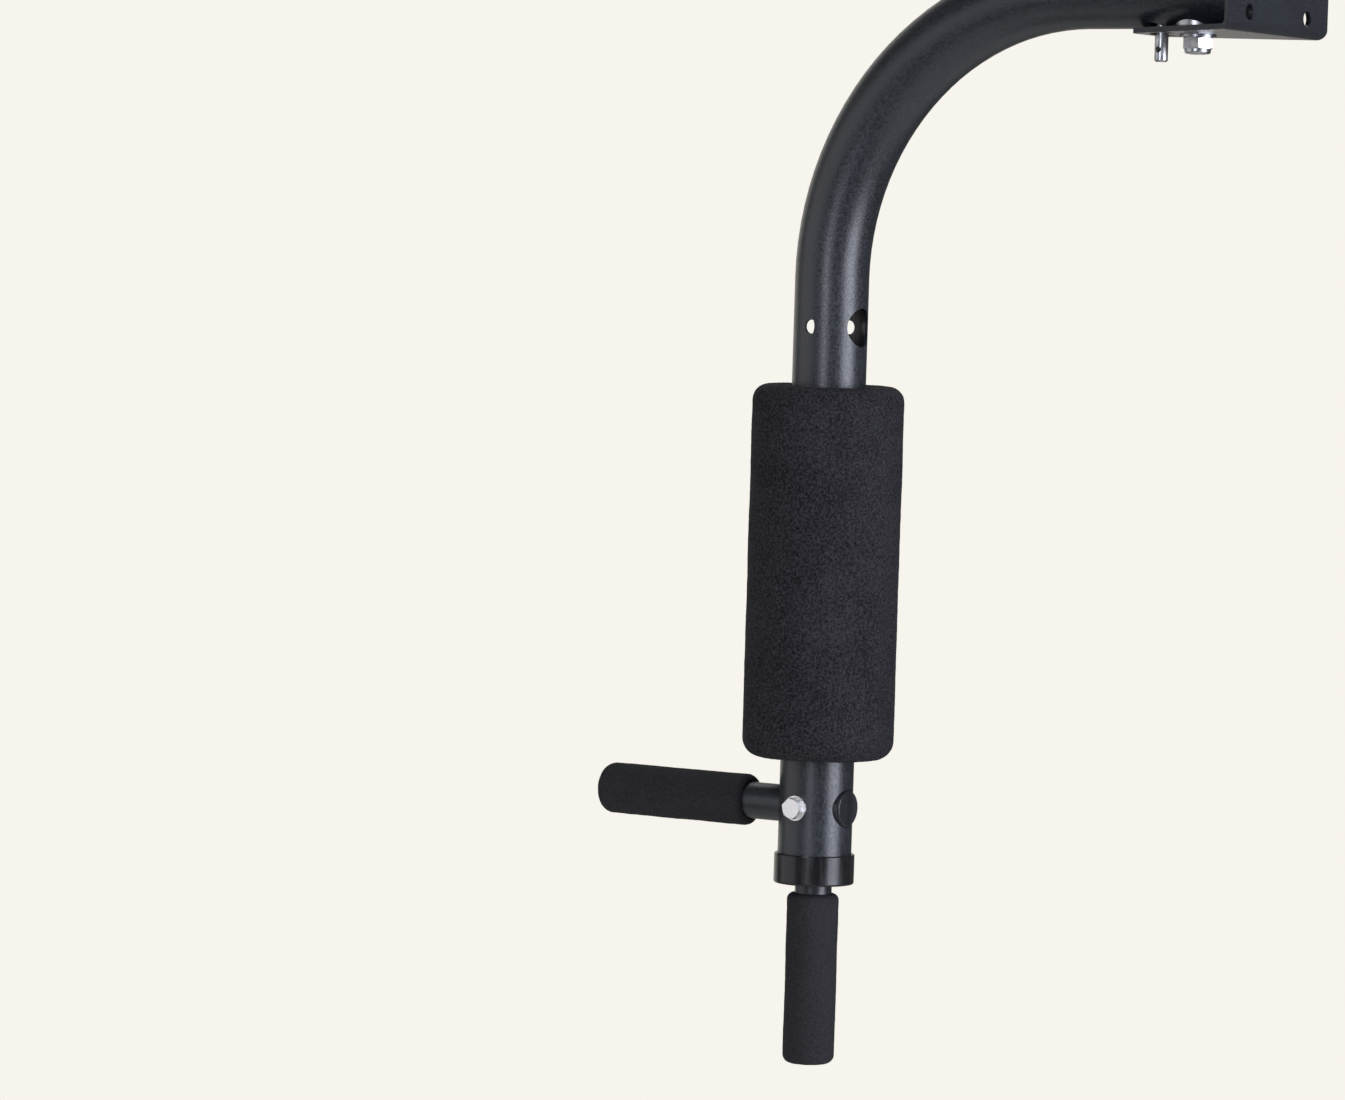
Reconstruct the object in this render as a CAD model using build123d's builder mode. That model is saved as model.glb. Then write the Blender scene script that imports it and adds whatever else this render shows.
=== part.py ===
from build123d import *
from math import hypot, radians, tan
import os

os.makedirs("parts", exist_ok=True)

# Swinging press arm of a home gym. All sizes are in millimetres.
# The origin is the centre of the face where the pivot bracket bolts to the gym's frame.
# The pivot axis and the arm lie towards -X, and the arm hangs down along -Z.

# ---- Arm tube ----
tube_od = 50.8
tube_wall = 2.0
bend_radius = 195.0
run_length = 82.0          # straight run from the end of the bend to the pivot axis
tail_length = 32.0         # run beyond the pivot axis
spare_hole_gap = 33.0      # bend to the spare handle holes
handle_bolt_hole = 9.5

# ---- Foam roller ----
roller_od = 104.0
roller_length = 255.5
roller_edge = 11.0
roller_top_gap = 40.0      # spare handle holes to the roller
roller_foot_gap = 33.5     # roller to the side handle's axis

# ---- Handles ----
handle_od = 25.4
handle_wall = 1.5
grip_od = 35.5
grip_floor = 5.0
grip_mouth_round = 4.5
grip_end_round = 5.5
side_grip_length = 120.0
side_grip_gap = 27.5       # bare tube between the arm tube and the grip
side_inset = 0.2           # handle tube's end short of the arm tube's side, where its plug is
lower_grip_length = 117.5
lower_grip_gap = 6.9       # bare tube between the collar and the grip
lower_tube_gap = 3.5       # side handle tube to the lower handle tube
ring_thickness = 4.0

# ---- End collar ----
collar_drop = 32.5         # side handle's axis to the collar's upper rim
collar_height = 20.6
collar_wall = 2.2
collar_floor = 2.5
collar_edge = 1.5
collar_lip_chamfer = 0.6

# ---- Plugs ----
plug_head = 1.8
plug_rib_pitch = 4.0
plug_rib_depth = 0.8
plug_ribs = 3
plug_rib_width = 1.2
plug_head_edge = 0.4       # straight edge of the head below its rounding
plug_head_round = 1.0
plug_step = 0.4            # side handle's plug smaller than its tube

# ---- Pivot ----
pivot_thread = 12.0
pivot_flats = 19.0
pivot_head = 7.5
pivot_nut_height = 10.8
pivot_bolt_end = 0.35       # bolt beyond its nut
pivot_washer_od = 24.0
pivot_washer_thickness = 1.6
sleeve_od = 31.0
bush_wall = 5.0
bush_length = 15.0
sleeve_stand = 1.0         # sleeve standing out of the top of the arm tube
thrust_washer_thickness = 2.2

# ---- Pivot bracket ----
plate_thickness = 3.6
plate_bend = 3.0           # inner radius of the bends
plate_end_width = 44.0     # across the plate's narrow end
plate_margin = 6.1         # material left round the pin slot
plate_corner = 8.0
plate_flare = 26.0         # degrees by which each side widens towards the web
tube_gap = 0.4             # arm tube to the lower plate
mount_bolt_room = 12.8     # room for the mounting bolts' heads inside the web
mount_hole = 10.5
mount_spacing_y = 80.0
mount_spacing_z = 34.0

# ---- Swing pin ----
pin_diameter = 9.0
pin_head_od = 16.0
pin_head_height = 4.0
pin_head_chamfer = 1.0
pin_tip_chamfer = 1.0
pin_slot_length = 25.0     # slot across the arm tube's lower wall
pin_slot_width = 12.0
pin_offset = 27.0          # pivot axis to pin axis
pin_stickout = 17.6        # pin below the lower plate
clip_hole = 4.0
clip_hole_height = 9.0     # pin's tip to the clip hole
clip_hole_turn = 13.0      # degrees off the Y axis
swing_out = 15.0           # degrees that the arm swings outwards
swing_in = 70.0            # degrees that the arm swings inwards

# ---- Handle bolt ----
handle_thread = 8.0
handle_flats = 13.0
handle_head = 5.3
handle_nut_height = 8.0
handle_bolt_end = 3.8       # bolt beyond its nut
handle_head_turn = -16.5   # degrees at which the tightened head stopped
handle_washer_od = 17.0
handle_washer_thickness = 1.6

# ---- Proportions that bolts and lock nuts share ----
hex_reach = 0.6            # radius just past the corners, as a share of the flats
head_bevel = 18.0          # degrees
nut_bevel = 30.0           # degrees
thread_chamfer = 1 / 12    # share of the thread's diameter
nut_collar_share = 0.3     # share of the nut's height above its hexagon
nut_collar_radius = 0.46   # share of the flats
insert_radius = 0.64       # share of the thread's diameter
insert_foot = 0.74         # shares of the nut's height
insert_top = 0.92

# ---- Clearances, all radial or face to face ----
press_clearance = 0.02
weld_clearance = 0.05
running_clearance = 0.05
foam_clearance = 0.15
pin_clearance = 0.15
axial_play = 0.15
slot_clearance = 0.4
handle_clearance = 0.5
bolt_clearance = 0.3
washer_clearance = 0.5

# ---- Places worked out from the sizes above ----
tube_radius = tube_od / 2
bore_radius = tube_radius - tube_wall
swing_radius = hypot(tail_length + plug_head, tube_radius)
pivot_x = -(plate_thickness + mount_bolt_room + swing_radius)
arm_x = pivot_x - run_length - bend_radius
tail_x = pivot_x + tail_length

lower_plate_top = -tube_radius - tube_gap
lower_plate_foot = lower_plate_top - plate_thickness
sleeve_foot = lower_plate_top + thrust_washer_thickness + axial_play
sleeve_top = tube_radius + sleeve_stand
upper_plate_foot = sleeve_top + axial_play + thrust_washer_thickness
upper_plate_top = upper_plate_foot + plate_thickness
plug_length = plug_ribs * plug_rib_pitch

spare_hole_z = -bend_radius - spare_hole_gap
roller_top = spare_hole_z - roller_top_gap
roller_foot = roller_top - roller_length
handle_z = roller_foot - roller_foot_gap
collar_top = handle_z - collar_drop
collar_foot = collar_top - collar_height
tube_foot = collar_foot + collar_floor
lower_grip_top = collar_foot - lower_grip_gap
lower_grip_foot = lower_grip_top - lower_grip_length
lower_tube_top = handle_z - handle_od / 2 - lower_tube_gap

pivot_plane = Plane(origin=(pivot_x, 0, 0))
arm_plane = Plane(origin=(arm_x, 0, 0))
tail_plane = Plane(origin=(tail_x, 0, 0), x_dir=(0, 1, 0), z_dir=(1, 0, 0))
side_plane = Plane(origin=(arm_x, 0, handle_z), x_dir=(0, 1, 0), z_dir=(1, 0, 0))
bolt_plane = Plane(origin=(arm_x, 0, handle_z), x_dir=(1, 0, 0), z_dir=(0, -1, 0))


def lengthwise(plane):
    # The plane through a round piece's axis: x is the radius and y runs along the axis.
    return Plane(origin=plane.origin, x_dir=plane.x_dir, z_dir=-plane.y_dir)


def axis_of(plane):
    return Axis(plane.origin, plane.z_dir)


def round_tube(plane, outer, inner, length):
    with BuildPart() as tube:
        with BuildSketch(plane):
            Circle(outer / 2)
            Circle(inner / 2, mode=Mode.SUBTRACT)
        extrude(amount=length)
    return tube


def corner_bevel(flats, bevel):
    # A radius just past a hexagon's corners, and how far the bevel has dropped there.
    reach = flats * hex_reach
    return reach, (reach - flats / 2) * tan(radians(bevel))


def hex_bolt(seat, thread, flats, head_height, length, turn=0):
    # The seat is the underside of the head, and the shank runs against the plane's direction.
    with BuildPart() as bolt:
        with BuildSketch(seat):
            RegularPolygon(flats / 2, 6, major_radius=False, rotation=turn)
        extrude(amount=head_height)
        reach, bevel = corner_bevel(flats, head_bevel)
        with BuildSketch(lengthwise(seat)):
            with BuildLine():
                Polyline((0, 0), (reach, 0), (reach, head_height - bevel),
                         (flats / 2, head_height), (0, head_height), close=True)
            make_face()
        revolve(axis=axis_of(seat), mode=Mode.INTERSECT)
        with BuildSketch(seat):
            Circle(thread / 2)
        extrude(amount=-length)
        tip = bolt.edges().filter_by(GeomType.CIRCLE).sort_by(axis_of(seat))[0]
        chamfer(tip, length=thread * thread_chamfer)
    return bolt


def lock_nut(seat, thread, flats, height):
    # A hexagon with a round collar above it. The collar holds the nylon ring in a groove.
    nut_collar = height * nut_collar_share
    hex_height = height - nut_collar
    reach, bevel = corner_bevel(flats, nut_bevel)
    with BuildPart() as nut:
        with BuildSketch(seat):
            RegularPolygon(flats / 2, 6, major_radius=False)
        extrude(amount=hex_height)
        with BuildSketch(lengthwise(seat)):
            with BuildLine():
                Polyline((0, 0), (flats / 2, 0), (reach, bevel), (reach, hex_height - bevel),
                         (flats / 2, hex_height), (0, hex_height), close=True)
            make_face()
        revolve(axis=axis_of(seat), mode=Mode.INTERSECT)
        with BuildSketch(seat.offset(hex_height)):
            Circle(flats * nut_collar_radius)
        extrude(amount=nut_collar)
        rim = nut.edges().filter_by(GeomType.CIRCLE).sort_by(axis_of(seat))[-1]
        fillet(rim, radius=nut_collar / 2)
        ring_outer, ring_foot, ring_top = insert_place(thread, height)
        with BuildSketch(seat):
            Circle(thread / 2 + press_clearance)
        extrude(amount=height, mode=Mode.SUBTRACT)
        with BuildSketch(seat.offset(ring_foot - press_clearance)):
            Circle(ring_outer + press_clearance)
        extrude(amount=ring_top - ring_foot + 2 * press_clearance, mode=Mode.SUBTRACT)
    return nut


def insert_place(thread, height):
    # Outer radius, foot and top of the nylon ring in a lock nut.
    return thread * insert_radius, height * insert_foot, height * insert_top


def lock_insert(seat, thread, height):
    ring_outer, ring_foot, ring_top = insert_place(thread, height)
    return round_tube(seat.offset(ring_foot), 2 * ring_outer, thread + 2 * press_clearance,
                      ring_top - ring_foot)


def domed_plug(seat, head_radius, body_radius):
    # A plastic insert: a domed head on the tube's end and a ribbed body inside it.
    core_radius = body_radius - plug_rib_depth
    with BuildPart() as plug:
        with BuildSketch(lengthwise(seat)):
            with BuildLine():
                Line((0, 0), (head_radius, 0))
                Line((head_radius, 0), (head_radius, plug_head_edge))
                shoulder = TangentArc((head_radius, plug_head_edge),
                                      (head_radius - plug_head_round, plug_head_edge + plug_head_round),
                                      tangent=(0, 1))
                TangentArc((0, plug_head), shoulder @ 1, tangent=(1, 0))
                Line((0, plug_head), (0, 0))
            make_face()
        revolve(axis=axis_of(seat))
        with BuildSketch(seat):
            Circle(core_radius)
        extrude(amount=-plug_length)
        for rib in range(plug_ribs):
            with BuildSketch(seat.offset(-(rib + 1) * plug_rib_pitch)):
                Circle(body_radius)
            extrude(amount=plug_rib_width)
    return plug


def foam_grip(mouth, length):
    # A sleeve closed at its far end. The mouth's plane points from the far end to the tube.
    with BuildPart() as grip:
        with BuildSketch(mouth):
            Circle(grip_od / 2)
        extrude(amount=-length)
        ends = grip.edges().filter_by(GeomType.CIRCLE).sort_by(axis_of(mouth))
        fillet(ends[0], radius=grip_end_round)
        fillet(ends[-1], radius=grip_mouth_round)
        with BuildSketch(mouth):
            Circle(handle_od / 2 + foam_clearance)
        extrude(amount=-(length - grip_floor), mode=Mode.SUBTRACT)
    return grip


# ---- Pivot bracket: one strip folded into a U, flared in plan towards its web ----
slot_radius = pin_diameter / 2 + slot_clearance
plate_reach = pin_offset + slot_radius + plate_margin
plate_end_x = pivot_x - plate_reach
plate_end_half = plate_end_width / 2
web_half = plate_end_half + (-plate_end_x) * tan(radians(plate_flare))

with BuildPart() as pivot_bracket:
    with BuildSketch(Plane.XZ):
        with BuildLine():
            FilletPolyline(
                (plate_end_x, lower_plate_top - plate_thickness / 2),
                (-plate_thickness / 2, lower_plate_top - plate_thickness / 2),
                (-plate_thickness / 2, upper_plate_foot + plate_thickness / 2),
                (plate_end_x, upper_plate_foot + plate_thickness / 2),
                radius=plate_bend + plate_thickness / 2,
            )
        trace(line_width=plate_thickness)
    extrude(amount=web_half, both=True)
    with BuildSketch(Plane.XY) as plan:
        Polygon((plate_end_x, -plate_end_half), (0, -web_half), (0, web_half),
                (plate_end_x, plate_end_half), align=None)
        fillet(plan.vertices().group_by(Axis.X)[0], radius=plate_corner)
    extrude(amount=upper_plate_top + tube_od, both=True, mode=Mode.INTERSECT)
    with BuildSketch(pivot_plane):
        Circle(pivot_thread / 2 + bolt_clearance)
    extrude(amount=upper_plate_top + tube_od, both=True, mode=Mode.SUBTRACT)
    # The pin travels with the arm in an arc slot, whose ends stop the swing.
    with BuildSketch(pivot_plane):
        with BuildLine(mode=Mode.PRIVATE):
            pin_travel = CenterArc((0, 0), pin_offset, 180 - swing_out, swing_out + swing_in)
        SlotArc(pin_travel, 2 * slot_radius)
    extrude(amount=upper_plate_top + tube_od, both=True, mode=Mode.SUBTRACT)
    with BuildSketch(Plane.YZ):
        with GridLocations(mount_spacing_y, mount_spacing_z, 2, 2):
            Circle(mount_hole / 2)
    extrude(amount=-2 * plate_thickness, mode=Mode.SUBTRACT)
pivot_bracket.part.label = "pivot_bracket"
export_step(pivot_bracket.part, "parts/pivot_bracket.step")

# ---- Pivot bolt, washers and lock nut ----
bolt_seat_z = upper_plate_top + pivot_washer_thickness
nut_seat_z = lower_plate_foot - pivot_washer_thickness
pivot_bolt_length = bolt_seat_z - nut_seat_z + pivot_nut_height + pivot_bolt_end
pivot_bolt = hex_bolt(pivot_plane.offset(bolt_seat_z), pivot_thread, pivot_flats, pivot_head,
                      pivot_bolt_length)
pivot_bolt.part.label = "pivot_bolt"
export_step(pivot_bolt.part, "parts/pivot_bolt.step")

with BuildPart() as pivot_bolt_washers:
    for washer_foot in (upper_plate_top, nut_seat_z):
        with BuildSketch(pivot_plane.offset(washer_foot)):
            Circle(pivot_washer_od / 2)
            Circle(pivot_thread / 2 + washer_clearance, mode=Mode.SUBTRACT)
        extrude(amount=pivot_washer_thickness)
pivot_bolt_washers.part.label = "pivot_bolt_washers"
export_step(pivot_bolt_washers.part, "parts/pivot_bolt_washers.step")

# The nut is upside down under the lower plate, so its seat plane points down.
nut_seat = Plane(origin=(pivot_x, 0, nut_seat_z), x_dir=(1, 0, 0), z_dir=(0, 0, -1))
pivot_lock_nut = lock_nut(nut_seat, pivot_thread, pivot_flats, pivot_nut_height)
pivot_lock_nut.part.label = "pivot_lock_nut"
export_step(pivot_lock_nut.part, "parts/pivot_lock_nut.step")

pivot_lock_insert = lock_insert(nut_seat, pivot_thread, pivot_nut_height)
pivot_lock_insert.part.label = "pivot_lock_insert"
export_step(pivot_lock_insert.part, "parts/pivot_lock_insert.step")

# The lower thrust washer lies in the sleeve's hole through the arm tube and turns in it.
thrust_washer_od = sleeve_od - 2 * slot_clearance
with BuildPart() as thrust_washers:
    for washer_foot in (lower_plate_top, upper_plate_foot - thrust_washer_thickness):
        with BuildSketch(pivot_plane.offset(washer_foot)):
            Circle(thrust_washer_od / 2)
            Circle(pivot_thread / 2 + washer_clearance, mode=Mode.SUBTRACT)
        extrude(amount=thrust_washer_thickness)
thrust_washers.part.label = "thrust_washers"
export_step(thrust_washers.part, "parts/thrust_washers.step")

# ---- Arm tube: bent round, drilled for the handle at two heights, the sleeve and the pin ----
with BuildPart() as arm_tube:
    with BuildLine(Plane.XZ):
        FilletPolyline((arm_x, tube_foot), (arm_x, 0), (tail_x, 0), radius=bend_radius)
    with BuildSketch(arm_plane.offset(tube_foot)):
        Circle(tube_radius)
        Circle(bore_radius, mode=Mode.SUBTRACT)
    sweep()
    for hole_z in (spare_hole_z, handle_z):
        with BuildSketch(Plane(origin=(arm_x, 0, hole_z), x_dir=(0, 1, 0), z_dir=(1, 0, 0))):
            Circle(handle_od / 2 + handle_clearance)
        extrude(amount=tube_od, both=True, mode=Mode.SUBTRACT)
        with BuildSketch(Plane(origin=(arm_x, 0, hole_z), x_dir=(1, 0, 0), z_dir=(0, -1, 0))):
            Circle(handle_bolt_hole / 2)
        extrude(amount=tube_od, both=True, mode=Mode.SUBTRACT)
    with BuildSketch(pivot_plane):
        Circle(sleeve_od / 2 + weld_clearance)
        with Locations((-pin_offset, 0)):
            Circle(pin_diameter / 2 + pin_clearance)
    extrude(amount=tube_od, both=True, mode=Mode.SUBTRACT)
    # The upper wall guides the pin. The lower wall's slot leaves room to steer its tip.
    with BuildSketch(pivot_plane):
        with Locations((-pin_offset, 0)):
            SlotOverall(pin_slot_length, pin_slot_width, rotation=90)
    extrude(amount=-tube_od, mode=Mode.SUBTRACT)
arm_tube.part.label = "arm_tube"
export_step(arm_tube.part, "parts/arm_tube.step")

# ---- Sleeve welded through the arm tube, with a bronze bush pressed into each end ----
bush_outer = pivot_thread + 2 * running_clearance + 2 * bush_wall
pivot_sleeve = round_tube(pivot_plane.offset(sleeve_foot), sleeve_od,
                          bush_outer + 2 * press_clearance, sleeve_top - sleeve_foot)
pivot_sleeve.part.label = "pivot_sleeve"
export_step(pivot_sleeve.part, "parts/pivot_sleeve.step")

with BuildPart() as pivot_bushes:
    for bush_foot in (sleeve_foot, sleeve_top - bush_length):
        with BuildSketch(pivot_plane.offset(bush_foot)):
            Circle(bush_outer / 2)
            Circle(pivot_thread / 2 + running_clearance, mode=Mode.SUBTRACT)
        extrude(amount=bush_length)
pivot_bushes.part.label = "pivot_bushes"
export_step(pivot_bushes.part, "parts/pivot_bushes.step")

tail_plug = domed_plug(tail_plane, tube_radius, bore_radius - press_clearance)
tail_plug.part.label = "tail_plug"
export_step(tail_plug.part, "parts/tail_plug.step")

# ---- Swing pin: headed pin that lifts out, with a hole for a spring clip at its tip ----
pin_seat = Plane(origin=(pivot_x - pin_offset, 0, upper_plate_top + slot_clearance))
pin_length = pin_seat.origin.Z - lower_plate_foot + pin_stickout
with BuildPart() as swing_pin:
    with BuildSketch(pin_seat):
        Circle(pin_head_od / 2)
    extrude(amount=pin_head_height)
    chamfer(swing_pin.edges().sort_by(Axis.Z)[-1], length=pin_head_chamfer)
    with BuildSketch(pin_seat):
        Circle(pin_diameter / 2)
    extrude(amount=-pin_length)
    chamfer(swing_pin.edges().sort_by(Axis.Z)[0], length=pin_tip_chamfer)
    clip_plane = Plane(origin=pin_seat.origin - (0, 0, pin_length - clip_hole_height),
                       x_dir=(0, 0, 1), z_dir=(0, -1, 0))
    with BuildSketch(clip_plane.rotated((clip_hole_turn, 0, 0))):
        Circle(clip_hole / 2)
    extrude(amount=pin_diameter, both=True, mode=Mode.SUBTRACT)
swing_pin.part.label = "swing_pin"
export_step(swing_pin.part, "parts/swing_pin.step")

# ---- Foam roller ----
with BuildPart() as foam_roller:
    with BuildSketch(arm_plane.offset(roller_foot)):
        Circle(roller_od / 2)
    extrude(amount=roller_length)
    fillet(foam_roller.edges(), radius=roller_edge)
    with BuildSketch(arm_plane.offset(roller_foot)):
        Circle(tube_radius + foam_clearance)
    extrude(amount=roller_length, mode=Mode.SUBTRACT)
foam_roller.part.label = "foam_roller"
export_step(foam_roller.part, "parts/foam_roller.step")

# ---- Side handle: a tube through the arm tube, held by the bolt that crosses it ----
side_mouth = side_plane.offset(-(tube_radius + side_grip_gap))
side_tube_end = tube_radius + side_grip_gap + side_grip_length - grip_floor - foam_clearance
side_tube_length = side_tube_end + tube_radius - side_inset
with BuildPart() as side_handle_tube:
    with BuildSketch(side_plane.offset(-side_tube_end)):
        Circle(handle_od / 2)
        Circle(handle_od / 2 - handle_wall, mode=Mode.SUBTRACT)
    extrude(amount=side_tube_length)
    with BuildSketch(bolt_plane):
        Circle(handle_thread / 2 + bolt_clearance)
    extrude(amount=handle_od, both=True, mode=Mode.SUBTRACT)
side_handle_tube.part.label = "side_handle_tube"
export_step(side_handle_tube.part, "parts/side_handle_tube.step")

side_handle_grip = foam_grip(side_mouth, side_grip_length)
side_handle_grip.part.label = "side_handle_grip"
export_step(side_handle_grip.part, "parts/side_handle_grip.step")

side_handle_plug = domed_plug(side_plane.offset(tube_radius - side_inset), handle_od / 2 - plug_step,
                              handle_od / 2 - handle_wall - press_clearance)
side_handle_plug.part.label = "side_handle_plug"
export_step(side_handle_plug.part, "parts/side_handle_plug.step")

# ---- Bolt, washers and lock nut that hold the side handle ----
head_seat = bolt_plane.offset(tube_radius + handle_washer_thickness)
handle_bolt_length = tube_od + 2 * handle_washer_thickness + handle_nut_height + handle_bolt_end
handle_bolt = hex_bolt(head_seat, handle_thread, handle_flats, handle_head, handle_bolt_length,
                       handle_head_turn)
handle_bolt.part.label = "handle_bolt"
export_step(handle_bolt.part, "parts/handle_bolt.step")

with BuildPart() as handle_bolt_washers:
    for washer_offset in (tube_radius, -tube_radius - handle_washer_thickness):
        with BuildSketch(bolt_plane.offset(washer_offset)):
            Circle(handle_washer_od / 2)
            Circle(handle_thread / 2 + bolt_clearance, mode=Mode.SUBTRACT)
        extrude(amount=handle_washer_thickness)
handle_bolt_washers.part.label = "handle_bolt_washers"
export_step(handle_bolt_washers.part, "parts/handle_bolt_washers.step")

handle_nut_seat = Plane(origin=(arm_x, tube_radius + handle_washer_thickness, handle_z),
                        x_dir=(1, 0, 0), z_dir=(0, 1, 0))
handle_lock_nut = lock_nut(handle_nut_seat, handle_thread, handle_flats, handle_nut_height)
handle_lock_nut.part.label = "handle_lock_nut"
export_step(handle_lock_nut.part, "parts/handle_lock_nut.step")

handle_lock_insert = lock_insert(handle_nut_seat, handle_thread, handle_nut_height)
handle_lock_insert.part.label = "handle_lock_insert"
export_step(handle_lock_insert.part, "parts/handle_lock_insert.step")

# ---- End collar: a plastic cap over the arm tube's lower end, open for the lower handle ----
collar_outer = tube_radius + weld_clearance + collar_wall
with BuildPart() as end_collar:
    with BuildSketch(arm_plane.offset(collar_foot)):
        Circle(collar_outer)
    extrude(amount=collar_height)
    fillet(end_collar.edges().sort_by(Axis.Z)[0], radius=collar_edge)
    chamfer(end_collar.edges().sort_by(Axis.Z)[-1], length=collar_lip_chamfer)
    with BuildSketch(arm_plane.offset(tube_foot)):
        Circle(tube_radius + weld_clearance)
    extrude(amount=collar_height, mode=Mode.SUBTRACT)
    with BuildSketch(arm_plane.offset(collar_foot)):
        Circle(handle_od / 2 + foam_clearance)
    extrude(amount=collar_floor, mode=Mode.SUBTRACT)
end_collar.part.label = "end_collar"
export_step(end_collar.part, "parts/end_collar.step")

# ---- Lower handle: a tube centred inside the arm tube by two welded rings ----
lower_tube_foot = lower_grip_foot + grip_floor + foam_clearance
lower_handle_tube = round_tube(arm_plane.offset(lower_tube_foot), handle_od,
                               handle_od - 2 * handle_wall, lower_tube_top - lower_tube_foot)
lower_handle_tube.part.label = "lower_handle_tube"
export_step(lower_handle_tube.part, "parts/lower_handle_tube.step")

with BuildPart() as lower_handle_rings:
    for ring_foot in (tube_foot, lower_tube_top - 2 * ring_thickness):
        with BuildSketch(arm_plane.offset(ring_foot)):
            Circle(bore_radius - weld_clearance)
            Circle(handle_od / 2 + weld_clearance, mode=Mode.SUBTRACT)
        extrude(amount=ring_thickness)
lower_handle_rings.part.label = "lower_handle_rings"
export_step(lower_handle_rings.part, "parts/lower_handle_rings.step")

lower_handle_grip = foam_grip(arm_plane.offset(lower_grip_top), lower_grip_length)
lower_handle_grip.part.label = "lower_handle_grip"
export_step(lower_handle_grip.part, "parts/lower_handle_grip.step")
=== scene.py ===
import math

import bmesh
import bpy
from mathutils import Matrix, Vector, noise


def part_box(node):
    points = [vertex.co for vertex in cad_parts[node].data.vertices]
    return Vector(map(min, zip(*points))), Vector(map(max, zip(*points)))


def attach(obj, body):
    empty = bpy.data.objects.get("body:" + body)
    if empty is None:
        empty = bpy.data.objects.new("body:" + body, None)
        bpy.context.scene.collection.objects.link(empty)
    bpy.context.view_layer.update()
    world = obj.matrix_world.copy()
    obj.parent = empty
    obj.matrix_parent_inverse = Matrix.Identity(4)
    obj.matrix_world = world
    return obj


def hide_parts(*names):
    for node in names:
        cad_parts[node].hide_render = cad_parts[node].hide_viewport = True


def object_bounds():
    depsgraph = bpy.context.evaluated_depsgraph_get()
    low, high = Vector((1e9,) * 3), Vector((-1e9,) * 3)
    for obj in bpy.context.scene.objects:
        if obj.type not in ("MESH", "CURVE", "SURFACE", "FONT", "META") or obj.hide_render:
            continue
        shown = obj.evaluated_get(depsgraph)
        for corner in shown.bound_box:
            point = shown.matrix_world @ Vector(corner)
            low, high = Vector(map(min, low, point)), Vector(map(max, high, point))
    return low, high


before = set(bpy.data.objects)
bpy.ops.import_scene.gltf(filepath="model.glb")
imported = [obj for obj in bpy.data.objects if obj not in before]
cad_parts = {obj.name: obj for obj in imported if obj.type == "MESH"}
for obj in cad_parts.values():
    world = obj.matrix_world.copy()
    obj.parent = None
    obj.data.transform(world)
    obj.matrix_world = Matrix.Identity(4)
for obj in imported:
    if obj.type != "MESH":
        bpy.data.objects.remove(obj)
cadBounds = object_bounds()

up = Vector((0, 0, 1))
mm = 0.001
noiseSpan = (0.35, 0.65)   # nearly all values of a noise texture lie between these


def linear(hexColour):
    # sRGB hex to the linear colour that the shaders take
    values = [int(hexColour[i:i + 2], 16) / 255 for i in (1, 3, 5)]
    return tuple(v / 12.92 if v <= 0.04045 else ((v + 0.055) / 1.055) ** 2.4 for v in values) + (1,)


def perMm(size):
    # texture scale whose pattern repeats about every size millimetres
    return 1 / (size * mm)


def addNode(tree, kind, feeds=None, stops=(), **settings):
    # feeds are links or values for the sockets, and stops are a colour ramp's (place, colour) pairs
    node = tree.nodes.new(kind)
    for name, value in settings.items():
        setattr(node, name, value)
    for socket, source in (feeds or {}).items():
        if isinstance(source, bpy.types.NodeSocket):
            tree.links.new(source, node.inputs[socket])
        else:
            node.inputs[socket].default_value = source
    for i, (place, colour) in enumerate(stops):
        node.color_ramp.elements[i].position = place
        node.color_ramp.elements[i].color = linear(colour)
    return node


def newMaterial(name):
    material = bpy.data.materials.new(name)
    material.use_nodes = True
    tree = material.node_tree
    tree.nodes.clear()
    place = addNode(tree, "ShaderNodeTexCoord").outputs["Object"]
    return material, tree, place


def finishMaterial(tree, shader):
    addNode(tree, "ShaderNodeOutputMaterial", {"Surface": shader.outputs["BSDF"]})


print("materials")

# in every recipe pattern sizes and bump heights are in mm, and roughness goes from low to high noise

powderCoat = {
    "tones": ((0.38, "#15181c"), (0.62, "#24282f")),
    "grain": 1.8, "mottle": 45, "peel": 1.6, "grainShare": 0.75,
    "roughness": (0.30, 0.43), "ior": 1.62, "bumpHeight": 0.15, "bumpStrength": 0.6,
}


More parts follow.
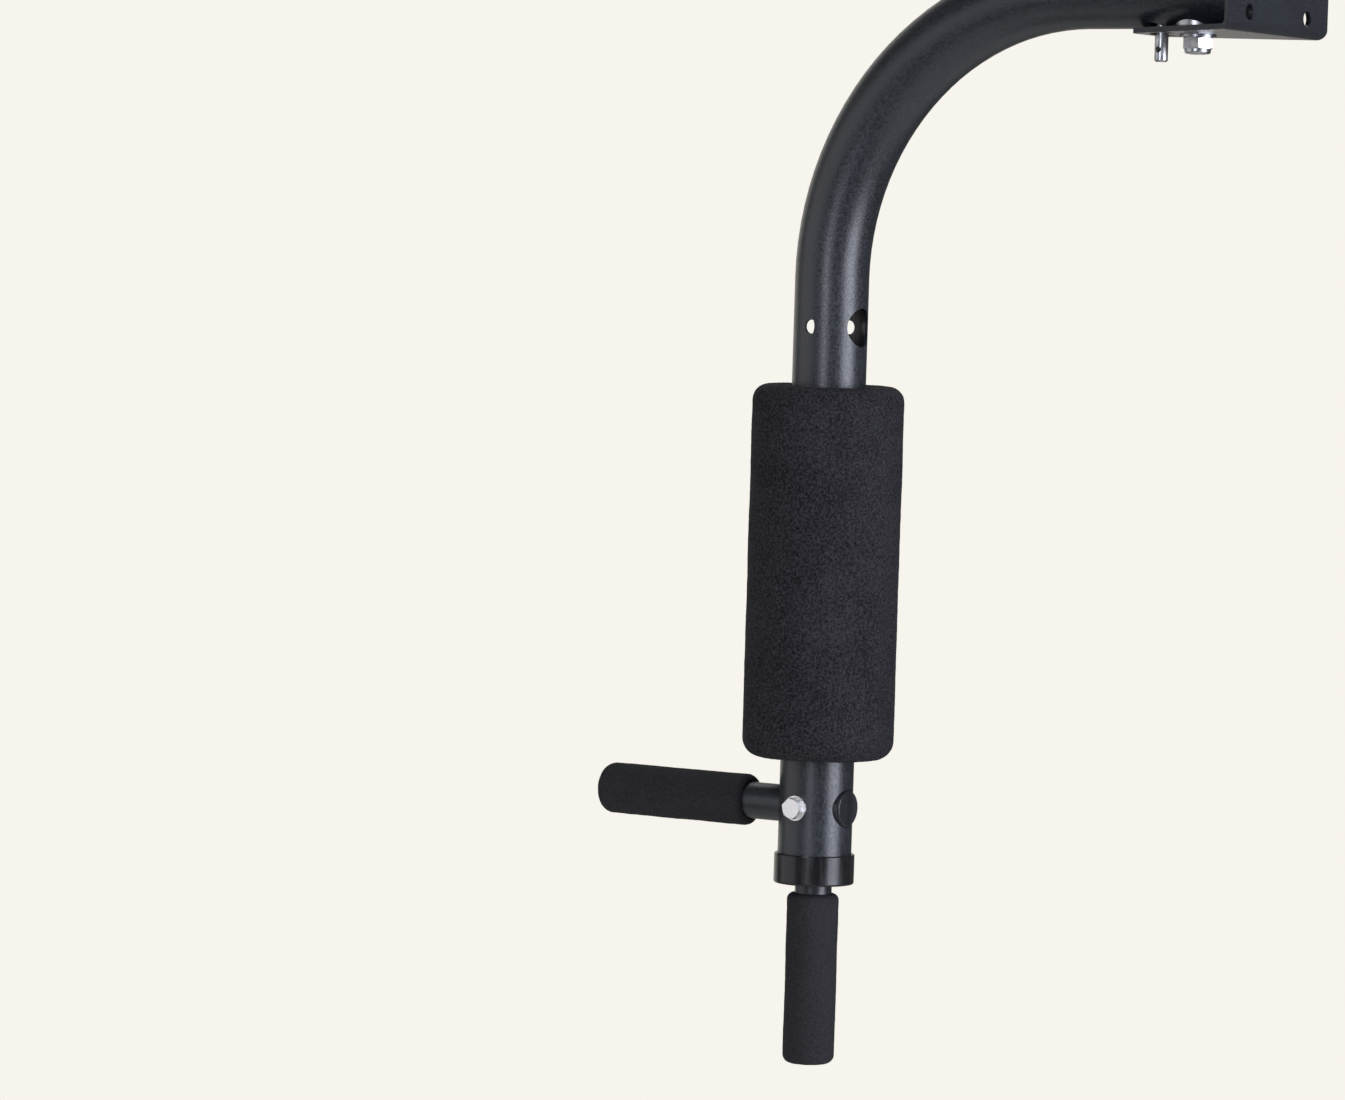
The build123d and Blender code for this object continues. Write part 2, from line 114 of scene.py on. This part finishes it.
def makePowderCoat(name, recipe):
    # polyester powder, sprayed dry and baked: a satin skin with a fine orange peel and a faint sparkle
    # the real grain is finer, and it's drawn coarser to be seen at all
    material, tree, place = newMaterial(name)
    grain = addNode(tree, "ShaderNodeTexNoise", {"Vector": place, "Scale": perMm(recipe["grain"]),
                                                 "Detail": 2.0, "Roughness": 0.6})
    mottle = addNode(tree, "ShaderNodeTexNoise", {"Vector": place, "Scale": perMm(recipe["mottle"]),
                                                  "Detail": 3.0})
    share = recipe["grainShare"]
    blend = addNode(tree, "ShaderNodeMath", {0: grain.outputs["Fac"], 1: share}, operation="MULTIPLY")
    blend = addNode(tree, "ShaderNodeMath", {0: mottle.outputs["Fac"], 1: 1 - share,
                                             2: blend.outputs[0]}, operation="MULTIPLY_ADD")
    tone = addNode(tree, "ShaderNodeValToRGB", {"Fac": blend.outputs[0]}, stops=recipe["tones"])
    low, high = recipe["roughness"]
    rough = addNode(tree, "ShaderNodeMapRange", {
        "Value": grain.outputs["Fac"], "From Min": noiseSpan[0], "From Max": noiseSpan[1],
        "To Min": low, "To Max": high})
    peel = addNode(tree, "ShaderNodeTexNoise", {"Vector": place, "Scale": perMm(recipe["peel"]),
                                                "Detail": 2.0})
    bump = addNode(tree, "ShaderNodeBump", {
        "Height": peel.outputs["Fac"], "Strength": recipe["bumpStrength"],
        "Distance": recipe["bumpHeight"] * mm})
    shader = addNode(tree, "ShaderNodeBsdfPrincipled", {
        "Base Color": tone.outputs["Color"], "Roughness": rough.outputs["Result"],
        "IOR": recipe["ior"], "Normal": bump.outputs["Normal"]})
    finishMaterial(tree, shader)
    return material


foamSkin = {
    "roller": {"tones": ((0.40, "#0f0e12"), (0.62, "#323135")), "cell": 1.3, "patch": 30,
               "bumpHeight": 0.40, "roughness": 0.94},
    "grip": {"tones": ((0.36, "#1c1b1e"), (0.66, "#2e2d30")), "cell": 1.0, "patch": 22,
             "bumpHeight": 0.14, "roughness": 0.88},
    # for both: the dust is the finer noise between the cells, its size a share of theirs
    "dustSize": 1.2, "dustShare": 0.87, "bumpStrength": 0.8, "ior": 1.45, "specular": 0.2,
}


def makeFoam(name, recipe):
    # nitrile rubber foam, moulded and ground to size: cut cells break up the light, so nothing shines
    # the real cells are finer, and they're drawn coarser to show
    material, tree, place = newMaterial(name)
    cells = addNode(tree, "ShaderNodeTexVoronoi", {"Vector": place, "Scale": perMm(recipe["cell"])},
                    feature="F1")
    dust = addNode(tree, "ShaderNodeTexNoise", {
        "Vector": place, "Scale": perMm(recipe["cell"] * foamSkin["dustSize"]),
        "Detail": 3.0, "Roughness": 0.7})
    patch = addNode(tree, "ShaderNodeTexNoise", {"Vector": place, "Scale": perMm(recipe["patch"]),
                                                 "Detail": 2.0})
    share = foamSkin["dustShare"]
    mixed = addNode(tree, "ShaderNodeMath", {0: dust.outputs["Fac"], 1: share}, operation="MULTIPLY")
    mixed = addNode(tree, "ShaderNodeMath", {0: patch.outputs["Fac"], 1: 1 - share,
                                             2: mixed.outputs[0]}, operation="MULTIPLY_ADD")
    tone = addNode(tree, "ShaderNodeValToRGB", {"Fac": mixed.outputs[0]}, stops=recipe["tones"])
    height = addNode(tree, "ShaderNodeMath", {0: cells.outputs["Distance"], 1: dust.outputs["Fac"]},
                     operation="ADD")
    bump = addNode(tree, "ShaderNodeBump", {
        "Height": height.outputs[0], "Strength": foamSkin["bumpStrength"],
        "Distance": recipe["bumpHeight"] * mm})
    shader = addNode(tree, "ShaderNodeBsdfPrincipled", {
        "Base Color": tone.outputs["Color"], "Roughness": recipe["roughness"],
        "IOR": foamSkin["ior"], "Specular IOR Level": foamSkin["specular"],
        "Normal": bump.outputs["Normal"]})
    finishMaterial(tree, shader)
    return material


mouldedPlastic = {
    "collar": {"tones": ((0.35, "#121214"), (0.65, "#1b1b1e")), "flow": 3.5, "roughness": (0.22, 0.34)},
    "plug": {"tones": ((0.35, "#1b1c20"), (0.65, "#26272c")), "flow": 6.0, "roughness": (0.24, 0.32)},
    # for both: the flow marks are drawn out along Z
    "drawnOut": (1, 1, 0.12), "bumpHeight": 0.08, "bumpStrength": 0.5, "ior": 1.5,
}


def makeMouldedPlastic(name, recipe):
    # polyethylene, injection moulded: a smooth skin whose gloss wanders along the flow
    material, tree, place = newMaterial(name)
    stretched = addNode(tree, "ShaderNodeMapping", {"Vector": place, "Scale": mouldedPlastic["drawnOut"]})
    flow = addNode(tree, "ShaderNodeTexNoise", {"Vector": stretched.outputs["Vector"],
                                                "Scale": perMm(recipe["flow"]), "Detail": 2.0})
    tone = addNode(tree, "ShaderNodeValToRGB", {"Fac": flow.outputs["Fac"]}, stops=recipe["tones"])
    low, high = recipe["roughness"]
    rough = addNode(tree, "ShaderNodeMapRange", {
        "Value": flow.outputs["Fac"], "From Min": noiseSpan[0], "From Max": noiseSpan[1],
        "To Min": low, "To Max": high})
    bump = addNode(tree, "ShaderNodeBump", {
        "Height": flow.outputs["Fac"], "Strength": mouldedPlastic["bumpStrength"],
        "Distance": mouldedPlastic["bumpHeight"] * mm})
    shader = addNode(tree, "ShaderNodeBsdfPrincipled", {
        "Base Color": tone.outputs["Color"], "Roughness": rough.outputs["Result"],
        "IOR": mouldedPlastic["ior"], "Normal": bump.outputs["Normal"]})
    finishMaterial(tree, shader)
    return material


plainMetal = {
    "brightZinc": {"tones": ((0.35, "#f2f3f3"), (0.60, "#fdfdfc")), "blotch": 5.0, "brush": 0.35,
                   "roughness": (0.26, 0.34), "stretch": (1, 1, 1)},
    "zinc": {"tones": ((0.35, "#a3a5a9"), (0.60, "#c9cacb")), "blotch": 5.0, "brush": 0.35,
             "roughness": (0.28, 0.38), "stretch": (1, 1, 1)},
    "bronze": {"tones": ((0.35, "#8a6a3c"), (0.60, "#b08a55")), "blotch": 2.5, "brush": 0.4,
               "roughness": (0.30, 0.45), "stretch": (1, 1, 6)},
    "steel": {"tones": ((0.35, "#6d6e71"), (0.60, "#9b9c9e")), "blotch": 6.0, "brush": 0.4,
              "roughness": (0.35, 0.50), "stretch": (1, 1, 4)},
    # for all: how deep the tool lines are
    "bumpHeight": 0.01, "bumpStrength": 0.4,
}


def makeMetal(name, recipe):
    # turned or forged, then plated or left bare: fine tool lines under a slightly cloudy shine
    material, tree, place = newMaterial(name)
    blotch = addNode(tree, "ShaderNodeTexNoise", {"Vector": place, "Scale": perMm(recipe["blotch"]),
                                                  "Detail": 3.0})
    stretched = addNode(tree, "ShaderNodeMapping", {"Vector": place, "Scale": recipe["stretch"]})
    lines = addNode(tree, "ShaderNodeTexNoise", {"Vector": stretched.outputs["Vector"],
                                                 "Scale": perMm(recipe["brush"]), "Detail": 2.0})
    tone = addNode(tree, "ShaderNodeValToRGB", {"Fac": blotch.outputs["Fac"]}, stops=recipe["tones"])
    low, high = recipe["roughness"]
    rough = addNode(tree, "ShaderNodeMapRange", {
        "Value": blotch.outputs["Fac"], "From Min": noiseSpan[0], "From Max": noiseSpan[1],
        "To Min": low, "To Max": high})
    bump = addNode(tree, "ShaderNodeBump", {
        "Height": lines.outputs["Fac"], "Strength": plainMetal["bumpStrength"],
        "Distance": plainMetal["bumpHeight"] * mm})
    shader = addNode(tree, "ShaderNodeBsdfPrincipled", {
        "Base Color": tone.outputs["Color"], "Metallic": 1.0, "Roughness": rough.outputs["Result"],
        "Normal": bump.outputs["Normal"]})
    finishMaterial(tree, shader)
    return material


turnedNylon = {"tones": ((0.0, "#c9c8c0"), (1.0, "#dddcd4")), "patch": 2.0, "roughness": 0.45, "ior": 1.53}


def makeNylon(name, recipe):
    # nylon ring, turned from rod: milky and waxy
    material, tree, place = newMaterial(name)
    patch = addNode(tree, "ShaderNodeTexNoise", {"Vector": place, "Scale": perMm(recipe["patch"])})
    tone = addNode(tree, "ShaderNodeValToRGB", {"Fac": patch.outputs["Fac"]}, stops=recipe["tones"])
    shader = addNode(tree, "ShaderNodeBsdfPrincipled", {
        "Base Color": tone.outputs["Color"], "Roughness": recipe["roughness"], "IOR": recipe["ior"]})
    finishMaterial(tree, shader)
    return material


coatedSteel = makePowderCoat("powder_coated_steel", powderCoat)
rollerFoam = makeFoam("nitrile_foam_ground", foamSkin["roller"])
gripFoam = makeFoam("nitrile_foam_moulded", foamSkin["grip"])
collarPlastic = makeMouldedPlastic("polyethylene_gloss_moulded", mouldedPlastic["collar"])
plugPlastic = makeMouldedPlastic("polyethylene_satin_moulded", mouldedPlastic["plug"])
brightZincSteel = makeMetal("bright_zinc_plated_steel", plainMetal["brightZinc"])
zincSteel = makeMetal("zinc_plated_steel", plainMetal["zinc"])
bushBronze = makeMetal("sintered_bronze_turned", plainMetal["bronze"])
bareSteel = makeMetal("mild_steel_machined", plainMetal["steel"])
nylon = makeNylon("nylon_turned", turnedNylon)

finishes = {
    coatedSteel: ["pivot_bracket", "arm_tube", "side_handle_tube", "lower_handle_tube"],
    zincSteel: ["pivot_bolt", "pivot_bolt_washers", "pivot_lock_nut", "thrust_washers", "swing_pin",
                "pivot_sleeve"],
    brightZincSteel: ["handle_bolt", "handle_bolt_washers", "handle_lock_nut"],
    bareSteel: ["lower_handle_rings"],
    bushBronze: ["pivot_bushes"],
    nylon: ["pivot_lock_insert", "handle_lock_insert"],
    plugPlastic: ["tail_plug", "side_handle_plug"],
    collarPlastic: ["end_collar"],
}
for finish, names in finishes.items():
    for name in names:
        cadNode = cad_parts[name]
        cadNode.data.materials.clear()
        cadNode.data.materials.append(finish)


print("foam pieces")


def arcPoints(centre, radius, start, end, count):
    # points of an arc in (radius, height), angles in degrees
    return [(centre[0] + radius * math.cos(math.radians(start + (end - start) * i / count)),
             centre[1] + radius * math.sin(math.radians(start + (end - start) * i / count)))
            for i in range(count + 1)]


def evenPoints(profile, spacing):
    # the same line with points no further apart than the spacing
    points = [profile[0]]
    for a, b in zip(profile, profile[1:]):
        length = math.hypot(b[0] - a[0], b[1] - a[1])
        steps = max(1, math.ceil(length / spacing))
        points += [(a[0] + (b[0] - a[0]) * i / steps, a[1] + (b[1] - a[1]) * i / steps)
                   for i in range(1, steps + 1)]
    return points


def turnUpTo(direction):
    return up.rotation_difference(Vector(direction)).to_matrix().to_4x4()


def addObject(name, data):
    item = bpy.data.objects.new(name, data)
    bpy.context.scene.collection.objects.link(item)
    return item


def addMesh(name, mesh, place, smooth):
    # turns a finished bmesh into an object
    data = bpy.data.meshes.new(name)
    mesh.to_mesh(data)
    mesh.free()
    data.transform(place)
    for face in data.polygons:
        face.use_smooth = smooth
    return addObject(name, data)


def turnedMesh(name, profile, around, place, wander, closed):
    # a profile of (radius, height) turned about the place's Z axis, its skin moved slightly by noise
    onAxis = 1e-6
    mesh = bmesh.new()
    rings = []
    for radius, height in profile:
        if radius < onAxis:
            rings.append([mesh.verts.new((0, 0, height))])
            continue
        rings.append([mesh.verts.new((radius * math.cos(2 * math.pi * i / around),
                                      radius * math.sin(2 * math.pi * i / around), height))
                      for i in range(around)])
    pairs = list(zip(rings, rings[1:]))
    if closed:
        pairs.append((rings[-1], rings[0]))
    for low, high in pairs:
        for i in range(around):
            j = (i + 1) % around
            corners = [low[i % len(low)], low[j % len(low)], high[j % len(high)], high[i % len(high)]]
            corners = list(dict.fromkeys(corners))   # at the axis two corners are the same point
            if len(corners) > 2:
                mesh.faces.new(corners)
    bmesh.ops.recalc_face_normals(mesh, faces=mesh.faces)
    mesh.normal_update()
    shifts = []
    for vert in mesh.verts:
        swell = sum(depth * mm * noise.noise(vert.co * perMm(size)) for size, depth in wander)
        shifts.append((vert, vert.normal * swell))
    for vert, shift in shifts:
        vert.co += shift
    return addMesh(name, mesh, place, smooth=True)


# lengths in mm; wander is the skin's unevenness, as (size of the pattern, depth)
roller = {"topEdge": 10.5, "footEdge": 12.5, "mouthEdge": 1.5, "boreClearance": 0.5, "dish": 1.2,
          "topSlant": 1.2, "slantAzimuth": 214, "spacing": 1.6, "around": 224,
          "edgeSteps": 12, "mouthSteps": 4, "wander": ((38, 0.3), (7, 0.16), (2.2, 0.14))}


def makeRoller():
    low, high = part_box("foam_roller")
    plugLow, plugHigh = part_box("tail_plug")
    centre = (low + high) / 2
    outer = (high.x - low.x) / 2
    half = (high.z - low.z) / 2
    bore = (plugHigh.y - plugLow.y) / 2 + roller["boreClearance"] * mm
    lip = roller["mouthEdge"] * mm
    dish = roller["dish"] * mm

    def endProfile(edge):
        # from the side over the rounded edge and the slightly sunken end into the bore
        line = arcPoints((outer - edge, half - edge), edge, 0, 90, roller["edgeSteps"])
        return line + arcPoints((bore + lip, half - dish - lip), lip, 90, 180, roller["mouthSteps"])

    foot = [(r, -z) for r, z in reversed(endProfile(roller["footEdge"] * mm))]
    profile = evenPoints(foot + endProfile(roller["topEdge"] * mm), roller["spacing"] * mm)
    piece = turnedMesh("foamRoller", profile, roller["around"], Matrix.Translation(centre),
                       roller["wander"], closed=True)
    # the upper end was sawn a little out of square
    turn = math.radians(roller["slantAzimuth"])
    aside = Vector((math.sin(turn), -math.cos(turn), 0))
    for vert in piece.data.vertices:
        share = max(0, (vert.co.z - centre.z) / half)
        vert.co.z += roller["topSlant"] * mm * share * (vert.co - centre).dot(aside) / outer
    piece.data.materials.append(rollerFoam)
    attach(piece, "arm")
    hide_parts("foam_roller")


grip = {"endEdge": 5.7, "mouthEdge": 4.5, "lip": 0.5, "boreClearance": 0.4, "floor": 5.0, "spacing": 1.1,
        "around": 112, "endSteps": 12, "mouthSteps": 8, "lipSteps": 3,
        "wander": ((24, 0.3), (5, 0.14), (1.8, 0.08))}


def makeGrip(name, node, tubeNode, mouth):
    # mouth is the direction from the closed end to the open one
    low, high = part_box(node)
    centre = (low + high) / 2
    size = high - low
    half = max(size) / 2
    outer = min(size) / 2
    tubeLow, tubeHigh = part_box(tubeNode)
    bore = min(tubeHigh - tubeLow) / 2 + grip["boreClearance"] * mm
    endEdge, mouthEdge, lip = (grip[k] * mm for k in ("endEdge", "mouthEdge", "lip"))
    inside = -half + grip["floor"] * mm
    profile = [(0, -half)]
    profile += arcPoints((outer - endEdge, -half + endEdge), endEdge, -90, 0, grip["endSteps"])
    profile += arcPoints((outer - mouthEdge, half - mouthEdge), mouthEdge, 0, 90, grip["mouthSteps"])
    profile += arcPoints((bore + lip, half - lip), lip, 90, 180, grip["lipSteps"])
    profile += [(bore, inside), (0, inside)]
    profile = evenPoints(profile, grip["spacing"] * mm)
    piece = turnedMesh(name, profile, grip["around"], Matrix.Translation(centre) @ turnUpTo(mouth),
                       grip["wander"], closed=False)
    piece.data.materials.append(gripFoam)
    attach(piece, "arm")
    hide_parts(node)


makeRoller()
makeGrip("sideGrip", "side_handle_grip", "lower_handle_tube", (1, 0, 0))
makeGrip("lowerGrip", "lower_handle_grip", "lower_handle_tube", (0, 0, 1))


print("bolt thread")

# lengths in mm; the section's points are (along, outward), as shares of its width and its depth
handleThread = {"diameter": 8.0, "pitch": 1.25, "depth": 0.6, "around": 48, "stopBefore": 0.9,
                "section": [(-0.5, -0.15), (-0.44, 0.0), (-0.06, 1.0),
                            (0.06, 1.0), (0.44, 0.0), (0.5, -0.15)],
                "width": 0.96,       # as a share of the pitch, so that the turns don't touch
                "fadeTurns": 0.5}


def makeThread(name, body, start, direction, length, recipe):
    # a helical ridge wound round the plain shank, fading into the tip's chamfer
    pitch = recipe["pitch"] * mm
    crest = recipe["diameter"] / 2 * mm
    root = crest - recipe["depth"] * mm
    around, section = recipe["around"], recipe["section"]
    steps = int(length / pitch * around)
    mesh = bmesh.new()
    rows = []
    for i in range(steps + 1):
        angle = 2 * math.pi * i / around
        along = pitch * i / around
        fade = min(1, i / around / recipe["fadeTurns"], (steps - i) / around / recipe["fadeTurns"])
        row = []
        for offset, rise in section:
            radius = root + (crest - root) * rise * (fade if rise > 0 else 1)
            row.append(mesh.verts.new((radius * math.cos(angle), radius * math.sin(angle),
                                       along + offset * pitch * recipe["width"])))
        rows.append(row)
    for low, high in zip(rows, rows[1:]):
        for k in range(len(section) - 1):
            mesh.faces.new((low[k], low[k + 1], high[k + 1], high[k]))
        mesh.faces.new((low[-1], low[0], high[0], high[-1]))
    mesh.faces.new(rows[0])
    mesh.faces.new(list(reversed(rows[-1])))
    bmesh.ops.recalc_face_normals(mesh, faces=mesh.faces)
    piece = addMesh(name, mesh, Matrix.Translation(start) @ turnUpTo(direction), smooth=True)
    piece.data.materials.append(brightZincSteel)
    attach(piece, body)


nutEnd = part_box("handle_lock_nut")[1].y
boltLow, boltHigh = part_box("handle_bolt")
threadStart = Vector(((boltLow.x + boltHigh.x) / 2, nutEnd, (boltLow.z + boltHigh.z) / 2))
makeThread("handleBoltThread", "arm", threadStart, (0, 1, 0),
           boltHigh.y - nutEnd - handleThread["stopBefore"] * mm, handleThread)


print("floor and light")

# lengths in metres, azimuths in degrees, and the rest are strengths or shares
studio = {"paper": "#f7f4ed", "floorCentre": (-0.25, 0), "floorDrop": 0.9, "floorRadius": 2.8,
          "floorSides": 96, "nearFloor": 1.1, "farFloor": 0.97, "nearGlow": 0.45, "mirroredFloor": 0.06,
          "skyFrom": -0.2, "skyLow": 0.12, "skyHigh": 0.50, "skyColour": "#f4f4f6",
          "surround": 0.10, "paperAzimuth": -128, "paperFrom": 0.80, "paperTo": 0.955}


def lookedAt(tree, rays):
    # 1 for rays that show a thing, straight, mirrored or through glass, and 0 for those that light
    seen = addNode(tree, "ShaderNodeMath", {0: rays.outputs["Is Camera Ray"],
                                            1: rays.outputs["Is Glossy Ray"]}, operation="MAXIMUM")
    seen = addNode(tree, "ShaderNodeMath", {0: seen.outputs[0], 1: rays.outputs["Is Transmission Ray"]},
                   operation="MAXIMUM")
    return seen.outputs[0]


def makeFloor():
    # seamless paper: lit and shadowed near the object, and even further out
    centre = (*studio["floorCentre"], cadBounds[0][2] - studio["floorDrop"])
    mesh = bmesh.new()
    bmesh.ops.create_circle(mesh, cap_ends=True, segments=studio["floorSides"],
                            radius=studio["floorRadius"], matrix=Matrix.Translation(centre))
    floor = addMesh("floor", mesh, Matrix(), smooth=False)
    material, tree, place = newMaterial("seamless_paper")
    paper = linear(studio["paper"])
    lit = addNode(tree, "ShaderNodeBsdfDiffuse", {"Color": paper})
    rays = addNode(tree, "ShaderNodeLightPath")
    # reflections of the floor are dimmer than the floor itself
    glow = addNode(tree, "ShaderNodeMapRange", {"Value": rays.outputs["Is Camera Ray"],
                                                "To Min": studio["mirroredFloor"], "To Max": 1.0})
    even = addNode(tree, "ShaderNodeEmission", {"Color": paper, "Strength": glow.outputs["Result"]})
    middle = addNode(tree, "ShaderNodeVectorMath", {0: place, 1: centre}, operation="SUBTRACT")
    away = addNode(tree, "ShaderNodeVectorMath", {0: middle.outputs[0]}, operation="LENGTH")
    spread = addNode(tree, "ShaderNodeMapRange", {
        "Value": away.outputs["Value"], "From Min": studio["nearFloor"],
        "From Max": studio["floorRadius"] * studio["farFloor"],
        "To Min": studio["nearGlow"], "To Max": 1.0}, interpolation_type="SMOOTHSTEP")
    share = addNode(tree, "ShaderNodeMath", {0: lookedAt(tree, rays), 1: spread.outputs["Result"]},
                    operation="MULTIPLY")
    mixed = addNode(tree, "ShaderNodeMixShader", {0: share.outputs[0], 1: lit.outputs[0],
                                                  2: even.outputs[0]})
    # the paper isn't in the way of a look from below
    side = addNode(tree, "ShaderNodeNewGeometry")
    clear = addNode(tree, "ShaderNodeBsdfTransparent")
    whole = addNode(tree, "ShaderNodeMixShader", {0: side.outputs["Backfacing"], 1: mixed.outputs[0],
                                                  2: clear.outputs[0]})
    addNode(tree, "ShaderNodeOutputMaterial", {"Surface": whole.outputs[0]})
    floor.data.materials.append(material)


def makeSky():
    world = bpy.data.worlds.new("studio")
    bpy.context.scene.world = world
    world.use_nodes = True
    tree = world.node_tree
    tree.nodes.clear()
    rays = addNode(tree, "ShaderNodeLightPath")
    looking = addNode(tree, "ShaderNodeTexCoord").outputs["Generated"]
    # the ceiling is the brightest part
    rise = addNode(tree, "ShaderNodeSeparateXYZ", {"Vector": looking})
    sky = addNode(tree, "ShaderNodeMapRange", {
        "Value": rise.outputs["Z"], "From Min": studio["skyFrom"],
        "To Min": studio["skyLow"], "To Max": studio["skyHigh"]})
    light = addNode(tree, "ShaderNodeBackground", {"Color": linear(studio["skyColour"]),
                                                   "Strength": sky.outputs["Result"]})
    # the paper roll stands on one side of the studio, and reflections of the rest are dim
    aim = math.radians(studio["paperAzimuth"])
    facing = addNode(tree, "ShaderNodeVectorMath", {0: looking, 1: (math.sin(aim), -math.cos(aim), 0)},
                     operation="DOT_PRODUCT")
    roll = addNode(tree, "ShaderNodeMapRange", {
        "Value": facing.outputs["Value"], "From Min": studio["paperFrom"], "From Max": studio["paperTo"],
        "To Min": studio["surround"], "To Max": 1.0}, interpolation_type="SMOOTHSTEP")
    strength = addNode(tree, "ShaderNodeMath", {0: roll.outputs["Result"],
                                                1: rays.outputs["Is Camera Ray"]}, operation="MAXIMUM")
    paper = addNode(tree, "ShaderNodeBackground", {"Color": linear(studio["paper"]),
                                                   "Strength": strength.outputs[0]})
    mixed = addNode(tree, "ShaderNodeMixShader", {0: lookedAt(tree, rays), 1: light.outputs[0],
                                                  2: paper.outputs[0]})
    addNode(tree, "ShaderNodeOutputWorld", {"Surface": mixed.outputs[0]})


lamps = {
    # azimuth and height in degrees as seen from the object, distance and size in metres, power in watts
    "keyLight": {"azimuth": 89, "height": 7, "distance": 3.2, "size": (1.9, 3.0), "power": 138,
                 "colour": "#e6eaf9"},
    "stripLight": {"azimuth": 12, "height": 21, "distance": 3.6, "size": (0.7, 3.6), "power": 68,
                   "colour": "#e6eaf9"},
    "fillLight": {"azimuth": -50, "height": 1, "distance": 3.6, "size": (3.6, 2.6), "power": 25,
                  "colour": "#f4f2f8"},
    "backLight": {"azimuth": -146, "height": 58, "distance": 3.4, "size": (2.4, 2.4), "power": 30,
                  "colour": "#f8f8fb"},
}


def makeLamp(name, recipe):
    centre = Vector([(a + b) / 2 for a, b in zip(*cadBounds)])
    turn, lift = math.radians(recipe["azimuth"]), math.radians(recipe["height"])
    toward = Vector((math.sin(turn) * math.cos(lift), -math.cos(turn) * math.cos(lift), math.sin(lift)))
    data = bpy.data.lights.new(name, "AREA")
    data.shape = "RECTANGLE"
    data.size, data.size_y = recipe["size"]
    data.energy = recipe["power"]
    data.color = linear(recipe["colour"])[:3]
    lamp = addObject(name, data)
    lamp.location = centre + toward * recipe["distance"]
    lamp.rotation_euler = toward.to_track_quat("Z", "Y").to_euler()


makeFloor()
makeSky()
for lampName, lampRecipe in lamps.items():
    makeLamp(lampName, lampRecipe)


print("camera")

# angles in degrees, lens and sensor in mm, and the rest in metres from the arm's axis
view = {"azimuth": 33.93, "pitch": 2.728, "roll": 1.703, "distance": 3.6754, "across": -0.10369,
        "height": -0.20885, "lens": 143.61, "sensor": 36.0, "clipEnd": 200}


def makeCamera():
    turn, pitch, roll = (math.radians(view[k]) for k in ("azimuth", "pitch", "roll"))
    armLow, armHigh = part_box("foam_roller")
    armAxis = Vector(((armLow.x + armHigh.x) / 2, 0, 0))
    toward = Vector((math.sin(turn), -math.cos(turn), 0))
    across = Vector((math.cos(turn), math.sin(turn), 0))
    back = toward * math.cos(pitch) + up * math.sin(pitch)
    upright = up * math.cos(pitch) - toward * math.sin(pitch)
    xAxis = across * math.cos(roll) + upright * math.sin(roll)
    yAxis = upright * math.cos(roll) - across * math.sin(roll)
    data = bpy.data.cameras.new("camera")
    data.sensor_width = view["sensor"]
    data.lens = view["lens"]
    data.clip_end = view["clipEnd"]
    place = Matrix((xAxis, yAxis, back)).transposed().to_4x4()
    place.translation = (armAxis + toward * view["distance"] + across * view["across"]
                         + up * view["height"])
    camera = addObject("camera", data)
    camera.matrix_world = place
    bpy.context.scene.camera = camera


makeCamera()
bpy.context.scene.view_settings.view_transform = "Standard"

bpy.context.view_layer.update()
